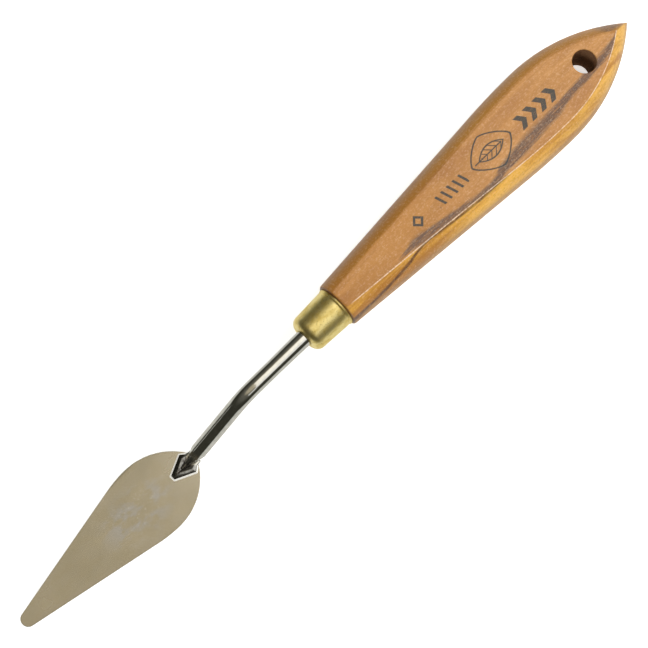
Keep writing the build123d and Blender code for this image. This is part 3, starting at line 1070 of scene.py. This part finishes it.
brazeLook = dict(
    dull=(0.93, 0.92, 0.87),
    bright=(1.0, 0.99, 0.96),
    # painted glow: the braze gives off a little light of its own to look brighter
    glow=(1.0, 0.98, 0.94),
    paintedGlowStrength=0.38,
    lumps=dict(scale=(1.5, 1.5, 1.5), detail=3.0),
    metallic=0.5,
    roughness=(0.30, 0.45),
    depth=0.05,
)


def silverBraze(look):
    material, shader, place = newMaterial("silverBraze")
    lumps = stretchedNoise(place, **look["lumps"])
    colour = ramp(lumps, [(0.3, look["dull"]), (0.7, look["bright"])])
    rough = band(lumps, 0.3, 0.7, *look["roughness"])
    # the emission is a painted glow that keeps the braze bright
    dress(shader, {"Base Color": colour, "Metallic": look["metallic"], "Roughness": rough,
                   "Emission Color": look["glow"], "Emission Strength": look["paintedGlowStrength"]},
          lumps, look["depth"], 0.6)
    return material


glueLook = dict(
    dark=(0.55, 0.45, 0.2),
    pale=(0.7, 0.6, 0.32),
    cloud=dict(scale=(0.4, 0.4, 0.4), detail=3.0),
    roughness=0.3,
    depth=0.05,
)


def curedGlue(look):
    material, shader, place = newMaterial("curedGlue")
    cloud = stretchedNoise(place, **look["cloud"])
    colour = ramp(cloud, [(0.3, look["dark"]), (0.7, look["pale"])])
    dress(shader, {"Base Color": colour, "Roughness": look["roughness"]}, cloud, look["depth"], 0.4)
    return material


useMaterial(handle, oliveWood(woodLook))
handle.data.materials.append(rawHole(woodLook))
for face in handle.data.polygons:
    fromAxis = math.hypot(face.center.x - handleHigh.x + handleLook["holeToTip"], face.center.y)
    isWall = abs(face.normal.z) < 0.5
    if isWall and fromAxis < handleLook["holeRadius"] + touching:
        face.material_index = 1
useMaterial(ferrule, drawnBrass(brassLook))
useMaterial(shank, brightPlate(plateLook))
useMaterial(blade, springSteel(steelLook))
useMaterial(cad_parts["braze"], silverBraze(brazeLook))
useMaterial(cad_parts["tang_glue"], curedGlue(glueLook))
print("materials made")

for piece, node, slot in ((handle, "handle", "handle_wood"), (ferrule, "ferrule", "ferrule_brass"),
                          (shank, "shank", "shank_chrome"), (blade, "blade", "blade_steel")):
    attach(piece, "root")
    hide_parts(node)


studio = dict(
    floorTone=(0.86, 0.86, 0.85),
    floorGlow=0.74,              # seen by the camera, so that shadows stay pale
    floorBounce=0.2,
    floorSize=4,
    floorGrain=dict(scale=(0.3, 0.3, 0.3), detail=3.0),
    tailContact=7 * mm,          # the handle touches the floor this far from its tip
    wallTone=(0.052, 0.052, 0.040),
    upperWallTone=(0.17, 0.165, 0.14),
    ceilingTone=(0.60, 0.54, 0.40),
    roomRise=(0.35, 0.84, 0.955),   # where each of the three tones above is full
    tableTone=(0.84, 0.84, 0.79),
    tableEdge=(-0.25, -0.01, 1.0),
    edgeLevel=-0.094,
    edgeSoft=0.06,
    windowWays=[(-0.813, 0.58, -0.03), (-0.859, 0.509, 0.016)],
    windowSpan=(0.9983, 0.9994),
    windowTone=(2.1, 2.1, 2.0),
    backTone=(0.95, 0.95, 0.95),
    cameraPlace=(-0.1205, -0.06824, 0.56516),
    cameraRight=(0.70134, -0.71015, 0.06170),
    cameraUp=(0.68229, 0.69384, 0.23035),
    lens=133.1,
    sensor=36,
    # (name, place, aim, width and length, watts, whether the metals mirror it)
    boxes=[
        ("overheadBox", (0.2175, -0.14, 0.42), (0.2175, -0.14, 0), (0.365, 0.52), 0.68, True),
        ("sideBox", (-0.09, -0.37, 0.42), (-0.09, -0.37, 0), (0.25, 0.20), 0.12, True),
        ("farBox", (0.55, -0.12, 0.45), (0.02, 0, 0), (0.30, 0.30), 2.65, False),
        ("nearBox", (-0.55, -0.12, 0.45), (-0.02, 0, 0), (0.30, 0.30), 2.3, False),
    ],
)


def makeFloor(look):
    # the knife rests on the heel of the blade and the underside of the handle's tail
    heel = Vector((bladeHigh.x, 0, bladeLow.z))
    tail = Vector((handleHigh.x - look["tailContact"], 0, handleLow.z))
    lean = math.atan2(tail.z - heel.z, tail.x - heel.x)
    deselectAll()
    bpy.ops.mesh.primitive_plane_add(size=look["floorSize"], location=heel, rotation=(0, -lean, 0))
    floor = bpy.context.object
    floor.name = "studioFloor"
    material, shader, place = newMaterial("palePaper")
    grain = stretchedNoise(place, **look["floorGrain"])
    paler = tuple(channel + 0.02 for channel in look["floorTone"])
    tone = ramp(grain, [(0.0, look["floorTone"]), (1.0, paler)])
    seen = addNode(shader.id_data, "ShaderNodeLightPath")
    glow = band(seen.outputs["Is Camera Ray"], 0.0, 1.0, look["floorBounce"], look["floorGlow"])
    for name, value in (("Base Color", tone), ("Emission Color", tone), ("Emission Strength", glow),
                        ("Roughness", 0.9), ("Specular IOR Level", 0.0)):
        plug(value, shader.inputs[name])
    useMaterial(floor, material)
    floor.visible_glossy = False


def makeWorld(look):
    # what the metals mirror: pale table below a tilted edge, dark walls, a warm ceiling, two far windows
    world = bpy.data.worlds.new("studioAir")
    bpy.context.scene.world = world
    world.use_nodes = True
    tree = world.node_tree
    tree.nodes.clear()
    output = addNode(tree, "ShaderNodeOutputWorld")
    way = addNode(tree, "ShaderNodeTexCoord").outputs["Generated"]
    up = addNode(tree, "ShaderNodeSeparateXYZ", {0: way}).outputs[2]
    tones = (look["wallTone"], look["upperWallTone"], look["ceilingTone"])
    room = ramp(up, list(zip(look["roomRise"], tones)))
    edge = addNode(tree, "ShaderNodeVectorMath", {0: way}, {1: look["tableEdge"]}, operation="DOT_PRODUCT")
    table = band(edge.outputs["Value"], look["edgeLevel"] + look["edgeSoft"],
                 look["edgeLevel"] - look["edgeSoft"])
    mirrored = blendColour(table, room, look["tableTone"])
    for windowWay in look["windowWays"]:
        aim = addNode(tree, "ShaderNodeVectorMath", {0: way}, {1: windowWay}, operation="DOT_PRODUCT")
        pane = band(aim.outputs["Value"], *look["windowSpan"])
        mirrored = blendColour(pane, mirrored, look["windowTone"])
    seen = addNode(tree, "ShaderNodeLightPath")
    tone = blendColour(seen.outputs["Is Camera Ray"], mirrored, look["backTone"])
    air = addNode(tree, "ShaderNodeBackground", {"Color": tone}, {"Strength": 1.0})
    tree.links.new(air.outputs[0], output.inputs["Surface"])


def softBox(name, place, aim, size, power, mirrored):
    deselectAll()
    bpy.ops.object.light_add(type="AREA", location=place)
    box = bpy.context.object
    box.name = name
    box.data.shape = "RECTANGLE"
    box.data.size, box.data.size_y = size
    box.data.energy = power
    box.visible_camera = False
    box.visible_glossy = mirrored
    box.rotation_euler = (Vector(aim) - Vector(place)).to_track_quat("-Z", "Y").to_euler()


def makeCamera(look):
    deselectAll()
    bpy.ops.object.camera_add()
    camera = bpy.context.object
    camera.name = "knifeCamera"
    right, up = Vector(look["cameraRight"]), Vector(look["cameraUp"])
    back = right.cross(up)
    turn = Matrix((right, up, back)).transposed()
    camera.matrix_world = Matrix.Translation(look["cameraPlace"]) @ turn.to_4x4()
    camera.data.lens = look["lens"]
    camera.data.sensor_width = look["sensor"]
    camera.data.clip_start = 0.01
    bpy.context.scene.camera = camera


makeFloor(studio)
makeWorld(studio)
for box in studio["boxes"]:
    softBox(*box)
makeCamera(studio)
bpy.context.scene.view_settings.view_transform = "Standard"
print("studio ready")
